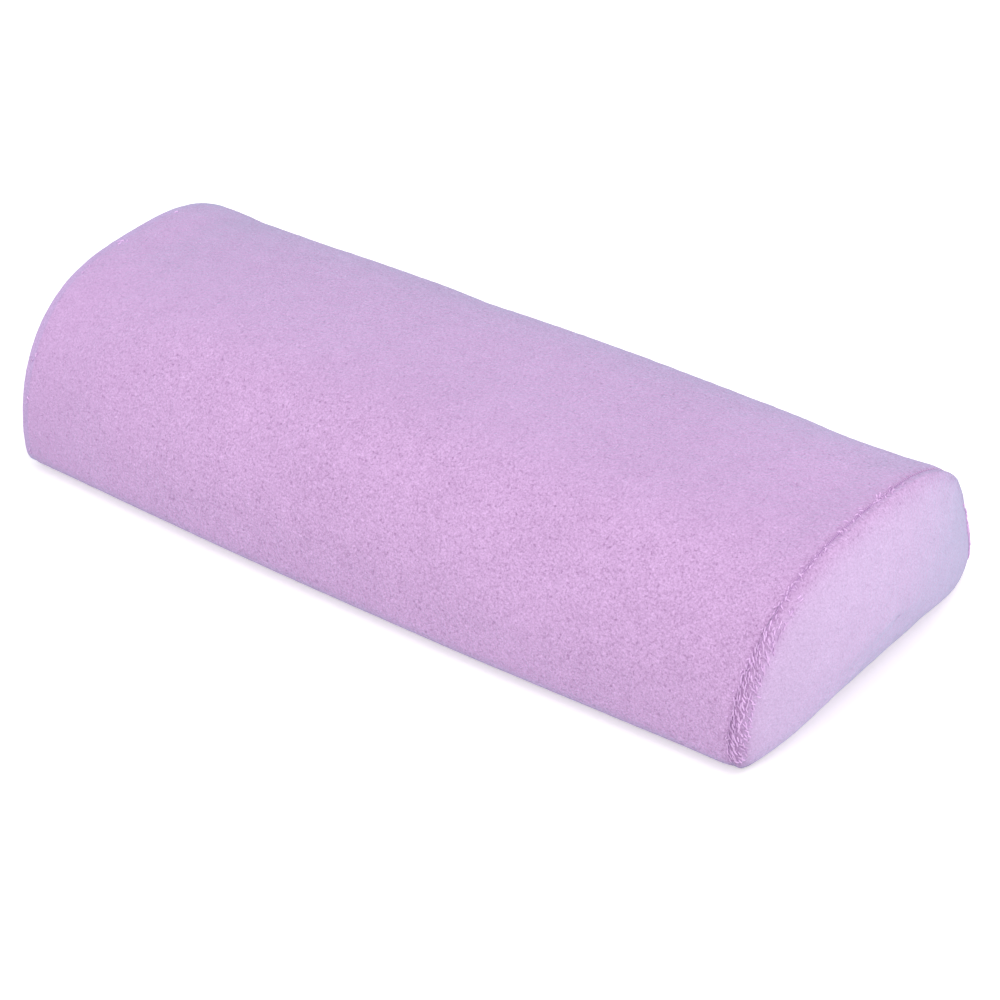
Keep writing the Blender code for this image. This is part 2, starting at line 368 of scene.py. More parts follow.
class Graph:
    """The nodes of one finish, or of the world."""

    def __init__(self, owner):
        self.owner = owner
        owner.use_nodes = True
        self.tree = owner.node_tree
        self.tree.nodes.clear()

    def add(self, kind, settings, inputs, output=0):
        """Add a node: first its settings, then the values or wires of its sockets."""
        node = self.tree.nodes.new(kind)
        for key, value in settings.items():
            setattr(node, key, value)
        for key, value in inputs.items():
            if isinstance(value, Wire):
                self.tree.links.new(value.socket, node.inputs[key])
            else:
                node.inputs[key].default_value = value
        return Wire(self, node.outputs[output]) if node.outputs else None

    def place(self):
        """Where a point lies on the object, in metres."""
        return self.add("ShaderNodeTexCoord", {}, {}, output="Object")

    def noise(self, size, detail=2.0, roughness=0.5, distortion=0.0, output=0):
        """Soft noise whose patches are about size metres wide, from 0 to 1."""
        inputs = {"Vector": self.place(), "Scale": 1 / size, "Detail": detail}
        inputs.update({"Roughness": roughness, "Distortion": distortion})
        return self.add("ShaderNodeTexNoise", {}, inputs, output)

    def mark(self, name):
        """A value that a piece's mesh holds."""
        return self.add("ShaderNodeAttribute", {"attribute_name": name}, {}, output="Fac")

    def wave(self, direction, size, distortion):
        """Bands of a width along a direction, from 0 to 1."""
        inputs = {"Vector": self.place(), "Scale": 1 / size, "Distortion": distortion}
        return self.add("ShaderNodeTexWave", {"bands_direction": direction}, inputs, output=1)

    def bump(self, strength, distance, height):
        """A normal that stands out with a height."""
        inputs = {"Strength": strength, "Distance": distance, "Height": height}
        return self.add("ShaderNodeBump", {}, inputs)

    def rays(self, *kinds):
        """1 for rays of any of some kinds."""
        seen = [self.add("ShaderNodeLightPath", {}, {}, output=f"Is {kind} Ray") for kind in kinds]
        return sum(seen[1:], seen[0])

    def between(self, factor, low, high):
        """A colour between two, by a factor."""
        inputs = {0: factor, 6: low, 7: high}
        return self.add("ShaderNodeMix", {"data_type": "RGBA"}, inputs, output=2)

    def finish(self, **sockets):
        """Close the graph with a Principled shader."""
        names = {}
        for key, value in sockets.items():
            names[key.replace("_", " ").title().replace("Ior", "IOR")] = value
        shader = self.add("ShaderNodeBsdfPrincipled", {}, names)
        self.add("ShaderNodeOutputMaterial", {}, {"Surface": shader})
        return self.owner


def new_finish(name):
    """The graph of a new material."""
    return Graph(bpy.data.materials.new(name))


def opaque(colour):
    """A colour with full alpha."""
    return (*colour, 1.0)


def darker(colour, share):
    """A colour times a share, with full alpha."""
    return opaque(min(part * share, 1.0) for part in colour)


def deeper(colour):
    """The tone between the loops: darker and more saturated, partly the pile's grain and partly
    painted shade in the gaps.
    """
    return darker((colour[0], colour[1] * 0.86, colour[2]), 0.66)


def paler(colour):
    """The tone of the loops' tips: paler and less saturated, partly the pile's grain and partly
    painted highlight.
    """
    return opaque(min(part * 1.20 + 0.03, 1.0) for part in colour)


def towelling_finish(name, colour, lit_or_shaded_colour, grain, relief):
    """Looped towelling: paler loop tips and darker gaps between the loops, the pile's grain partly
    painted as highlight and shade, with soft mottling, in two tones.

    The rim attribute leads from colour, 1 at a seam, to the second colour, 0. The second colour is
    colour painted lighter or darker for how the light falls on the piece. The gap attribute
    darkens it as painted shade.
    """
    graph = new_finish(name)
    rim = graph.mark("rim")
    moved = {0: graph.noise(DRIFT_SIZE, output=1), 1: (DRIFT, DRIFT, DRIFT), 2: graph.place()}
    bent = graph.add("ShaderNodeVectorMath", {"operation": "MULTIPLY_ADD"}, moved)
    far = graph.add("ShaderNodeTexVoronoi", {}, {"Vector": bent, "Scale": 1 / LOOP})
    worm = graph.noise(WORM_SIZE, 1.0, distortion=WORM_TWIST)
    patch = graph.noise(PATCH_SIZE, 3.0, 0.6)
    field = graph.noise(FIELD_SIZE)
    fleck = graph.noise(FLECK_SIZE, 0.0)
    pale = (1 - fleck).above(FLECK_EDGE) * PALE_FLECKS
    flecks = pale - fleck.above(FLECK_EDGE) * DARK_FLECKS
    loops = (LOOP_EDGE - far) * (LOOP_SHOWS * grain) + (worm - 0.5) * (WORM_SHOWS * grain)
    mask = (loops + flecks) * (rim * (1 - CALM_GRAIN) + CALM_GRAIN)
    mask = mask + (patch - 0.5) * PATCH_SHOWS + (field - 0.5) * FIELD_SHOWS
    # Painted shade: the gap attribute darkens the towelling in the seams' grooves and under the
    # band of loops
    mask = mask - graph.mark("gap_shade") + 0.5
    near_tone = graph.between(mask, deeper(colour), paler(colour))
    lit_or_shaded_tone = graph.between(mask, deeper(lit_or_shaded_colour), paler(lit_or_shaded_colour))
    tint = graph.between(rim, lit_or_shaded_tone, near_tone)
    height = (LOOP_EDGE - far) * LOOP_RELIEF + worm * LOOP_RELIEF + patch * PATCH_RELIEF
    return graph.finish(
        base_color=tint,
        roughness=0.95,
        specular_ior_level=0.1,
        sheen_weight=0.55,
        sheen_roughness=0.38,
        sheen_tint=opaque(SHEEN_TINT),
        normal=graph.bump(relief, 0.0005, height),
    )


def loops_finish():
    """Yarn of the pulled pile loops, each a little paler or darker than the next, all painted
    paler than the towelling as a painted highlight on the loops.
    """
    graph = new_finish("pile loops")
    fibre = graph.noise(FIBRE, 2.0, 0.6)
    mask = graph.mark("tone") * 0.8 + fibre * 0.3
    tint = graph.between(mask, darker(TOWELLING, 0.92), paler(LIT_LOOP_YARN))
    return graph.finish(
        base_color=tint,
        roughness=0.9,
        specular_ior_level=0.1,
        sheen_weight=0.2,
        sheen_tint=opaque((0.72, 0.78, 1.0)),
        normal=graph.bump(0.3, 0.0001, fibre),
    )


def thread_finish():
    """Twisted sewing thread, its tones darkened as painted shade."""
    graph = new_finish("sewing thread")
    twist = graph.wave("DIAGONAL", TWIST, 1.0)
    tint = graph.between(twist, *map(opaque, SHADED_THREAD_TONES))
    normal = graph.bump(0.5, 0.0002, twist)
    return graph.finish(base_color=tint, roughness=0.7, normal=normal, sheen_weight=0.2)


def tape_finish():
    """Woven zip tape with a fine herringbone."""
    graph = new_finish("woven zip tape")
    weave = graph.wave("Y", WEAVE, 0.3) * 0.5 + graph.wave("DIAGONAL", WEAVE, 0.3) * 0.5
    tint = graph.between(weave, *map(opaque, TAPE_TONES))
    normal = graph.bump(0.5, 0.0002, weave)
    return graph.finish(base_color=tint, roughness=0.85, normal=normal, sheen_weight=0.2)


def nylon_finish():
    """Moulded nylon of the coil teeth, slightly uneven in gloss."""
    graph = new_finish("nylon coil")
    cloud = graph.noise(CLOUD)
    tint = graph.between(cloud, *map(opaque, NYLON_TONES))
    return graph.finish(base_color=tint, roughness=cloud * 0.15 + 0.3)


def metal_finish():
    """Painted die-cast zip metal with a slight orange peel, worn bright at random spots."""
    graph = new_finish("painted zip metal")
    rub = graph.noise(RUB, 3.0)
    tint = graph.between(rub, *map(opaque, METAL_TONES))
    normal = graph.bump(0.15, 0.0001, graph.noise(PEEL))
    return graph.finish(base_color=tint, metallic=0.75, roughness=rub * 0.2 + 0.25, normal=normal)


def foam_finish():
    """Open-cell foam."""
    graph = new_finish("cushion foam")
    cells = graph.add("ShaderNodeTexVoronoi", {}, {"Vector": graph.place(), "Scale": 1 / CELL})
    tint = graph.between(cells * 1.4, *map(opaque, FOAM_TONES))
    normal = graph.bump(0.7, 0.0004, cells)
    return graph.finish(base_color=tint, roughness=0.95, normal=normal)


def set_finish(obj, material):
    """Give a piece one finish."""
    obj.data.materials.clear()
    obj.data.materials.append(material)


def half_width_at(x):
    """Half the cushion's width at x, with its belly in the middle."""
    along = min(abs(x) / (LENGTH / 2), 1.0)
    return END_WIDTH / 2 + (MIDDLE_WIDTH - END_WIDTH) / 2 * (1 - along**2) ** BELLY_POWER


def leaning_x(x, z):
    """Lean the end quarters outwards towards the top, as the end seams do."""
    start = LENGTH / 4
    share = np.clip((np.abs(x) - start) / (SEAM_X - start), 0.0, 1.0)
    height = np.clip(z / CROWN, 0.0, 1.0)
    lean = LEAN * (z - BULGE_HEIGHT) / CROWN - 4 * SEAM_BOW * height * (1 - height)
    return x + np.sign(x) * share * lean


def leaning_points(x, y, z):
    """The points of a section at x, leaning with the ends."""
    return np.column_stack([leaning_x(np.full_like(y, x), z), y, z])


def with_sides(y, z, side_y, side_z):
    """A section with a side at its back, and the same side mirrored at its front."""
    return np.concatenate([-side_y[::-1], y, side_y]), np.concatenate([side_z[::-1], z, side_z])


def outline_points(inset, half_width):
    """A fine polyline from the front of the base over the crown to the back of the base."""
    half = half_width - inset
    radius = max(CORNER - inset, CLOTH / 4)
    turn = np.linspace(math.pi / 2, 0, CORNER_STEPS)
    side_y = half - radius + radius * np.sin(turn)
    side_z = inset + radius - radius * np.cos(turn)
    sweep = np.linspace(math.pi, 0, ARCH_STEPS)
    arch_y = half * np.sign(np.cos(sweep)) * np.abs(np.cos(sweep)) ** (2 / ACROSS)
    arch_z = SPRING + (CROWN - inset - SPRING) * np.abs(np.sin(sweep)) ** (2 / UP)
    y, z = with_sides(arch_y, arch_z, side_y, side_z)
    share = np.clip((z - BACK_LOW) / (BACK_HIGH - BACK_LOW), 0, 1)
    y = y - BACK_FLAT * np.sin(math.pi * share) ** 2 * (y > 0)
    return y, z


def spread_evenly(y, z, count):
    """Points at even steps along a polyline."""
    steps = np.hypot(np.diff(y), np.diff(z))
    keep = np.concatenate([[True], steps > NEARLY_ZERO])
    along = np.concatenate([[0.0], np.cumsum(steps)])[keep]
    wanted = np.linspace(0, along[-1], count)
    return np.interp(wanted, along, y[keep]), np.interp(wanted, along, z[keep])


def slit_half_at(x):
    """Half the width of the slit under the cushion at x: open along the zip, closed beyond."""
    past = np.clip((abs(x) - OPENING / 2) / SLIT_TAPER, 0.0, 1.0)
    smooth = past * past * (3 - 2 * past)
    return SLIT_HALF + (SLIT_CLOSED - SLIT_HALF) * smooth


def fold_points(slit, inset):
    """The rounded edge of a hem at the back of the slit, from the base to the hem's top."""
    radius = (HEM_TOP - inset) / 2
    turn = np.linspace(0, math.pi, FOLD_STEPS)
    y = slit + radius - radius * np.sin(turn)
    z = inset + radius - radius * np.cos(turn)
    return y, z


def wrap_outside(x, inset, count):
    """One section of the wrap's outside, from hem to hem, at even steps."""
    section = outline_points(inset, half_width_at(x))
    return spread_evenly(*with_sides(*section, *fold_points(slit_half_at(x), inset)), count)


def wrap_inside(x, count):
    """One section of the wrap's inside, from the top of one hem to the top of the other."""
    section = spread_evenly(*outline_points(CLOTH, half_width_at(x)), count)
    slit = slit_half_at(x)
    hem_y = np.array([slit + HEM, slit + HEM, slit + HEM / 2])
    return with_sides(*section, hem_y, np.array([CLOTH, HEM_TOP, HEM_TOP]))


def shoulder_inset(share):
    """How deep the cloth lies over its rounded shoulder, from the seam outwards."""
    return 1 - np.sqrt(1 - (1 - share) ** 2)


def station_places(count):
    """Places along the cushion, even in the middle and close together near the seams."""
    even = np.linspace(-1, 1, count)
    eased = np.sin(even * math.pi / 2)
    return WRAP_END * ((1 - EASED) * even + EASED * eased)


def grid_faces(columns, rows, closed=False, first=0):
    """Quads of a grid of points that is stored row by row from the first point on."""
    faces = []
    last = columns if closed else columns - 1
    for row in range(rows - 1):
        for column in range(last):
            after = (column + 1) % columns
            start = first + row * columns
            far = start + columns
            faces.append((start + column, start + after, far + after, far + column))
    return faces


def put_in_scene(name, data):
    """A named object of a mesh, camera or light, in the scene."""
    obj = bpy.data.objects.new(name, data)
    bpy.context.scene.collection.objects.link(obj)
    return obj


def mesh_object(name, points, faces):
    """A named object from points and faces."""
    mesh = bpy.data.meshes.new(name)
    mesh.from_pydata([tuple(point) for point in points], [], faces)
    mesh.update()
    return put_in_scene(name, mesh)


def pile_height(point, seed):
    """How far the pile stands out at a point: clumps of loops and softer waves."""
    offset = Vector((seed, seed * 2, seed * 3))
    return sum(height * noise.noise(point / size + offset) for size, height in PILE_RELIEF)


def raise_pile(points, normals, strength, seed):
    """Move points out along their normals by the height of the pile, but not below the base."""
    heights = np.array([pile_height(Vector(point), seed) for point in points])
    raised = points + normals * (strength * heights)[:, None]
    raised[:, 2] = np.maximum(raised[:, 2], 0.0)
    return raised


def unit(vectors):
    """The directions of some vectors."""
    size = np.linalg.norm(vectors, axis=-1, keepdims=True)
    return vectors / np.maximum(size, NEARLY_ZERO)


def grid_normals(grid, closed=False):
    """Unit normals of a grid of points, away from the cushion's middle."""
    if closed:
        across = np.roll(grid, -1, axis=1) - np.roll(grid, 1, axis=1)
    else:
        across = np.gradient(grid, axis=1)
    normals = unit(np.cross(across, np.gradient(grid, axis=0)))
    middle = grid.shape[0] // 2, grid.shape[1] // 2
    away = grid[middle] - np.array([0.0, 0.0, BULGE_HEIGHT])
    return normals * np.sign(np.dot(normals[middle], away))


def settle_cloth(name, points, faces, held):
    """Let foam press from inside on a sheet that is held at some points, and give its moves."""
    sheet = mesh_object(name, points, faces)
    group = sheet.vertex_groups.new(name="held")
    group.add([int(index) for index in np.flatnonzero(held)], 1.0, "REPLACE")
    cloth = sheet.modifiers.new("cover", "CLOTH")
    for key, value in COVER_CLOTH.items():
        setattr(cloth.settings, key, value)
    cloth.settings.effector_weights.gravity = 0
    cloth.collision_settings.use_collision = False
    cloth.point_cache.frame_end = CLOTH_FRAMES
    for step in range(1, CLOTH_FRAMES + 1):
        bpy.context.scene.frame_set(step)
    lone(sheet)
    bpy.ops.object.modifier_apply(modifier=cloth.name)
    settled = np.empty(3 * len(points))
    sheet.data.vertices.foreach_get("co", settled)
    bpy.data.objects.remove(sheet)
    bpy.context.scene.frame_set(1)
    moves = settled.reshape(-1, 3) - points
    size = np.linalg.norm(moves, axis=1, keepdims=True)
    return moves * (CLOTH_CAP / np.maximum(size, CLOTH_CAP / 100)) * np.tanh(size / CLOTH_CAP)


def finer(values, rows, columns, old_rows, new_rows, closed=False):
    """Carry moves of a coarse grid over to a finer one, smoothed over the coarse steps."""
    if closed:
        values = np.concatenate([values, values[:, :1]], axis=1)
    old_columns = np.linspace(0, 1, values.shape[1])
    new_columns = np.linspace(0, 1, columns, endpoint=not closed)
    fine = np.empty((rows, columns, 3))
    for axis in range(3):
        wide = [np.interp(new_columns, old_columns, row) for row in values[:, :, axis]]
        tall = [np.interp(new_rows, old_rows, line) for line in np.transpose(wide)]
        fine[:, :, axis] = np.transpose(tall)
    edges = fine[0].copy(), fine[-1].copy()
    for _ in range(3):
        for shift in (1, 2, 3):
            if closed:
                fine = (fine + np.roll(fine, shift, axis=1) + np.roll(fine, -shift, axis=1)) / 3
            else:
                middle = fine[:, shift:-shift] + fine[:, : -2 * shift] + fine[:, 2 * shift :]
                fine[:, shift:-shift] = middle / 3
            middle = fine[shift:-shift] + fine[: -2 * shift] + fine[2 * shift :]
            fine[shift:-shift] = middle / 3
            fine[0], fine[-1] = edges
    return fine.reshape(-1, 3)


def lone(obj):
    """Select one object alone and make it the active one."""
    bpy.ops.object.select_all(action="DESELECT")
    obj.select_set(True)
    bpy.context.view_layer.objects.active = obj


def shade_smooth(obj, angle):
    """Shade an object smooth but for edges sharper than an angle."""
    lone(obj)
    bpy.ops.object.shade_smooth_by_angle(angle=angle)


def write_outwards(builder, mesh):
    """Turn a shape's faces outwards and put it in a mesh."""
    bmesh.ops.recalc_face_normals(builder, faces=builder.faces)
    builder.to_mesh(mesh)
    builder.free()


def mark(obj, name, values):
    """Store a value for each of a piece's first points, and 0 for the rest."""
    attribute = obj.data.attributes.new(name, "FLOAT", "POINT")
    shares = np.zeros(len(obj.data.vertices), dtype=np.float32)
    shares[: len(values)] = values
    attribute.data.foreach_set("value", shares)


def close_shell(obj):
    """Join the two open edges of a shell, and turn all its faces outwards."""
    builder = bmesh.new()
    builder.from_mesh(obj.data)
    edges = [edge for edge in builder.edges if edge.is_boundary]
    bmesh.ops.bridge_loops(builder, edges=edges)
    write_outwards(builder, obj.data)
    shade_smooth(obj, SHELL_ANGLE)


def wrap_grid(places, columns, slack):
    """The wrap's outside at given places along the cushion, and how free each point is."""
    rows = []
    free = []
    for x in places:
        share = min((WRAP_END - abs(x)) / WRAP_SHOULDER, 1.0)
        loose = min((WRAP_END - abs(x)) / LOOSE_WIDTH, 1.0)
        inset = SEAM_DEPTH * float(shoulder_inset(share)) * (1 if x > 0 else LEFT_SEAM)
        y, z = wrap_outside(x, inset, columns)
        low_y, low_z = wrap_outside(x, inset + slack, columns)
        lift = np.clip((z - FLAT_HEIGHT) / LOOSE_WIDTH, 0.0, 1.0) * loose
        y = y + (low_y - y) * lift
        z = z + (low_z - z) * lift
        if abs(x) < OPENING / 2 + GROOVE_PAST:
            sunk = np.exp(-(((np.abs(y) - STITCH_Y) / GROOVE_WIDTH) ** 2)) * (z < CLOTH / 2)
            z = z + GROOVE_DEPTH * sunk
        rows.append(leaning_points(x, y, z))
        free.append(lift)
    return np.concatenate(rows), np.concatenate(free)


def make_wrap(material):
    """The towelling that goes all round the cushion and is hemmed at the slit below."""
    sheet_places = np.linspace(-WRAP_END, WRAP_END, SHEET_STATIONS)
    sheet, free = wrap_grid(sheet_places, SHEET_COLUMNS, CLOTH_SLACK)
    sheet_faces = [face[::-1] for face in grid_faces(SHEET_COLUMNS, SHEET_STATIONS)]
    moves = settle_cloth("wrap_sheet", sheet, sheet_faces, free < HELD_FREE)
    places = station_places(OUTER_STATIONS)
    points, free = wrap_grid(places, OUTER_COLUMNS, CLOTH_SLACK)
    coarse = moves.reshape(SHEET_STATIONS, SHEET_COLUMNS, 3)
    points = points + finer(coarse, OUTER_STATIONS, OUTER_COLUMNS, sheet_places, places)
    normals = grid_normals(points.reshape(OUTER_STATIONS, OUTER_COLUMNS, 3)).reshape(-1, 3)
    calm = np.clip((points[:, 2] - PILE_BASE) / PILE_RISE, 0.0, 1.0)
    points = raise_pile(points, normals, calm, WRAP_SEED)
    inside = []
    for x in np.linspace(-WRAP_END, WRAP_END, INNER_STATIONS):
        y, z = wrap_inside(x, INNER_COLUMNS)
        inside.append(leaning_points(x, y, z))
    faces = grid_faces(OUTER_COLUMNS, OUTER_STATIONS)
    faces += grid_faces(INNER_COLUMNS + 2 * HEM_POINTS, INNER_STATIONS, first=len(points))
    cloud = np.concatenate([points, *inside])
    wrap = mesh_object("towelling_wrap", cloud, faces)
    # Painted shade: towards the far left end and along the crest the wrap's colour moves to its
    # darker painted copy, and its grain calms
    calm = FAR_SHADE_AND_CALM * np.exp(-(((cloud[:, 0] + LENGTH / 2) / FAR_WIDTH) ** 2))
    calm = calm + CREST_SHADE_AND_CALM * np.clip((cloud[:, 2] - CROWN) / CREST_FADE + 1, 0, 1)
    mark(wrap, "rim", np.clip(1 - calm, 0, 1))
    # Painted shade along the wrap's edge at the right seam
    near = np.exp(-((np.repeat(WRAP_END - places, OUTER_COLUMNS) / GAP_WIDTH) ** 2))
    mark(wrap, "gap_shade", WRAP_SHADE * near)
    close_shell(wrap)
    set_finish(wrap, material)
    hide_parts("wrap_panel")
    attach(wrap, "cushion")
    return points.reshape(OUTER_STATIONS, OUTER_COLUMNS, 3)


def end_ring(inset, scale, out, side, count):
    """One ring of an end panel, scaled towards the middle of the bulge."""
    y, z = outline_points(inset, half_width_at(SEAM_X))
    y, z = spread_evenly(np.append(y, y[0]), np.append(z, z[0]), count + 1)
    y, z = y[:-1] * scale**BULGE_NARROW, z[:-1] - BULGE_HEIGHT
    z = BULGE_HEIGHT + z * np.where(z > 0, scale**BULGE_OVER, scale**BULGE_UNDER)
    edge = SEAM_GAP / 2 if side > 0 else LEFT_EDGE
    return leaning_points(side * (SEAM_X + edge + out), y, z)


def end_outside(side, sectors, rings):
    """Rings of an end panel's outside, from the seam over its shoulder to the middle."""
    outside = []
    for place in np.linspace(0, 1, rings):
        share = min(place / SHOULDER_SHARE, 1.0)
        turn = max(place - SHOULDER_SHARE, 0.0) / (1 - SHOULDER_SHARE)
        depth = SETBACK + (SEAM_DEPTH - SETBACK) * float(shoulder_inset(share))
        depth = depth * (1 if side > 0 else LEFT_SEAM)
        scale = 1 - LAST_RING * turn
        bulge = (BULGE - END_SLACK) * (1 - scale**BULGE_ACROSS) ** (1 / BULGE_OUT)
        out = (share * SHOULDER + bulge) * (1 if side > 0 else LEFT_SHARE)
        outside.append(end_ring(depth, scale, out, side, sectors))
    return outside


def end_inside(side):
    """Rings of an end panel's inside."""
    rings = []
    for scale in np.linspace(1, LAST_INNER_RING, INNER_RINGS):
        bulge = (BULGE - CLOTH) * (1 - scale**BULGE_ACROSS) ** (1 / BULGE_OUT)
        rings.append(end_ring(CLOTH, scale, SHOULDER * (scale < 1) + bulge, side, INNER_COLUMNS))
    return rings


def make_end_panel(place, side, material):
    """A D-shaped end panel, pillowed by the foam behind it."""
    sheet = np.concatenate(end_outside(side, SHEET_SECTORS, SHEET_RINGS))
    sheet_faces = grid_faces(SHEET_SECTORS, SHEET_RINGS, closed=True)
    if side > 0:
        sheet_faces = [face[::-1] for face in sheet_faces]
    old_rings = np.linspace(0, 1, SHEET_RINGS)
    held = np.repeat(old_rings < HELD_RINGS, SHEET_SECTORS) | (sheet[:, 2] < HELD_HEIGHT)
    moves = settle_cloth("end_sheet", sheet, sheet_faces, held)
    outside = end_outside(side, END_SECTORS, END_RINGS)
    points = np.concatenate(outside)
    coarse = moves.reshape(SHEET_RINGS, SHEET_SECTORS, 3)
    new_rings = np.linspace(0, 1, END_RINGS)
    points = points + finer(coarse, END_RINGS, END_SECTORS, old_rings, new_rings, closed=True)
    normals = grid_normals(points.reshape(END_RINGS, END_SECTORS, 3), True).reshape(-1, 3)
    points = raise_pile(points, normals, END_PILE, END_SEED + side)
    first = len(points)
    cloud = np.concatenate([points, *end_inside(side)])
    faces = grid_faces(END_SECTORS, END_RINGS, closed=True)
    faces += grid_faces(INNER_COLUMNS, INNER_RINGS, closed=True, first=first)
    faces.append(tuple(range(first - END_SECTORS, first)))
    faces.append(tuple(range(len(cloud) - INNER_COLUMNS, len(cloud))))
    panel = mesh_object(f"towelling_end_{place}", cloud, faces)
    steps = np.linalg.norm(np.diff(np.array(outside), axis=0), axis=2)
    away = np.vstack([np.zeros(END_SECTORS), np.cumsum(steps, axis=0)]).reshape(-1)
    height = np.tile(outside[0][:, 2], END_RINGS)
    low = np.clip(BAND_LOW - height / (CROWN * BAND_REACH), 0, 1)
    # Beside its seam the right panel keeps the towelling's own colour, and beyond it the panel is
    # painted lighter; only this panel gets painted shade in its seam groove and under its band of
    # loops. The left panel has its painted shaded colour all over.
    shown = max(side, 0)
    mark(panel, "rim", shown * np.exp(-((away / RIM_WIDTH) ** 2)))
    shade = END_SHADE * np.exp(-((away / GAP_WIDTH) ** 2))
    band = BAND_SHADE * low * np.exp(-((away / BAND_WIDTH) ** 4))
    mark(panel, "gap_shade", shown * (shade + band))
    close_shell(panel)
    set_finish(panel, material)
    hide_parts(f"end_panel_{place}")
    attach(panel, "cushion")
    return points.reshape(END_RINGS, END_SECTORS, 3)


def at_grid(grid, row, column, closed):
    """A point between the points of a grid, by fractional row and column."""
    rows, columns = grid.shape[:2]
    row = np.clip(row, 0, rows - 1 - TOUCHING)
    low_row = np.floor(row).astype(int)
    part_row = (row - low_row)[..., None]
    if not closed:
        column = np.clip(column, 0, columns - 1 - TOUCHING)
    low_column = np.floor(column).astype(int)
    part_column = (column - low_column)[..., None]
    first = low_column % columns
    second = (low_column + 1) % columns
    top = grid[low_row, first] * (1 - part_column) + grid[low_row, second] * part_column
    under = grid[low_row + 1, first] * (1 - part_column) + grid[low_row + 1, second] * part_column
    return top * (1 - part_row) + under * part_row


def tubes(name, lines, radii, tones, sides=WIRE_SIDES):
    """Many thin closed tubes along lines, one mesh, with a tone for each tube."""
    count, length = lines.shape[:2]
    along = unit(np.gradient(lines, axis=1))
    steep = np.abs(along[:, :, 2:3]) >= TUBE_STEEP
    guide = np.where(steep, [[[1.0, 0.0, 0.0]]], [[[0.0, 0.0, 1.0]]])
    first = unit(np.cross(along, guide))
    second = np.cross(along, first)
    points = np.empty((count, length, sides, 3))
    for side in range(sides):
        turn = 2 * math.pi * side / sides
        reach = first * math.cos(turn) + second * math.sin(turn)
        points[:, :, side] = lines + reach * radii[:, :, None]
    each = length * sides
    faces = []
    for start in range(0, count * each, each):
        faces += grid_faces(sides, length, closed=True, first=start)
        faces.append(tuple(range(start, start + sides))[::-1])
        faces.append(tuple(range(start + each - sides, start + each)))
    obj = mesh_object(name, points.reshape(-1, 3), faces)
    mark(obj, "tone", np.repeat(tones, each))
    builder = bmesh.new()
    builder.from_mesh(obj.data)
    write_outwards(builder, obj.data)
    obj.data.shade_smooth()
    return obj


def loop_lines(grid, normals, distance, closed, chance, row_starts, crowd, few_share):
    """Centre lines of pulled pile loops beside a seam: close rows low down, few and short above.

    grid and normals go from the seam, row 0, outwards, and distance is how far each row is.
    """
    rows, columns = grid.shape[:2]
    step = np.linalg.norm(grid[0, columns // 2 + 1] - grid[0, columns // 2])
    per_row = int(columns * step / LOOP_PITCH)
    shift = np.repeat(np.arange(len(row_starts)) % 2 * 0.5, per_row)
    column = (np.tile(np.arange(per_row), len(row_starts)) + shift) * columns / per_row
    column = column + chance.normal(0, LOOP_STRAY * LOOP_PITCH / step, len(column))
    column = np.clip(column, 0, columns - 1)
    start = np.repeat(row_starts, per_row)
    foot = at_grid(grid, np.zeros(len(column)), column, closed)
    height = foot[:, 2]
    band_top = np.where(foot[:, 1] < 0, BAND_TOP, BAND_TOP_BEHIND)
    low = np.clip((band_top - height) / BAND_FADE, 0, 1)
    cluster = np.array([noise.noise(Vector(point) / LOOP_CLUSTER) for point in foot])
    few = np.clip(FEW_USUAL + FEW_CLUSTER * cluster, 0, 1)
    few = few * (start <= row_starts[0] + LOOP_PITCH)
    few = few * np.clip((FEW_REACH - foot[:, 1]) / FEW_FADE, 0, 1) * few_share
    wanted = np.maximum(low * crowd, few)
    keep = (height > BAND_FOOT) & (chance.uniform(0, 1, len(column)) < wanted)
    column, low, start = column[keep], low[keep] * crowd, start[keep]
    count = len(column)
    start = start + chance.normal(0, LOOP_STRAY * LOOP_PITCH, count)
    length = LOOP_SHORT + (LOOP_LONG - LOOP_SHORT) * low * chance.uniform(*LENGTH_SPREAD, count)
    slant = LOOP_SLANT + chance.normal(0, 1, count) * (SLANT_SPREAD - SLANT_CALM * low)
    slant = slant * np.where(column < columns / 2, -1, 1)
    share = np.linspace(0, 1, LOOP_STEPS)[None, :]
    away = start[:, None] + share * (length * np.cos(slant))[:, None]
    row = np.interp(np.maximum(away, 0.0), distance, np.arange(rows))
    place = column[:, None] + share * (length * np.sin(slant))[:, None] / step
    if not closed:
        place = np.clip(place, 1, columns - 2)
    before = unit(grid[0] - grid[1])
    before = at_grid(np.broadcast_to(before, grid.shape), row, place, closed)
    centre = at_grid(grid, row, place, closed) + before * np.maximum(-away, 0.0)[:, :, None]
    outwards = at_grid(normals, row, place, closed)
    flat = 1 - np.abs(2 * share - 1) ** 3
    rise = flat * chance.uniform(*LOOP_RISE, (count, 1)) - LOOP_SUNK
    lines = centre + outwards * rise[:, :, None]
    lines[:, :, 2] = np.maximum(lines[:, :, 2], LOOP_FLOOR)
    thickness = LOOP_THIN + (LOOP_THICK - LOOP_THIN) * low[:, None]
    thickness = chance.uniform(*LOOP_UNEVEN, (count, 1)) * thickness
    radii = thickness * (LOOP_TIP + (1 - LOOP_TIP) * np.sqrt(flat))
    return lines, radii, chance.uniform(0, 1, count)


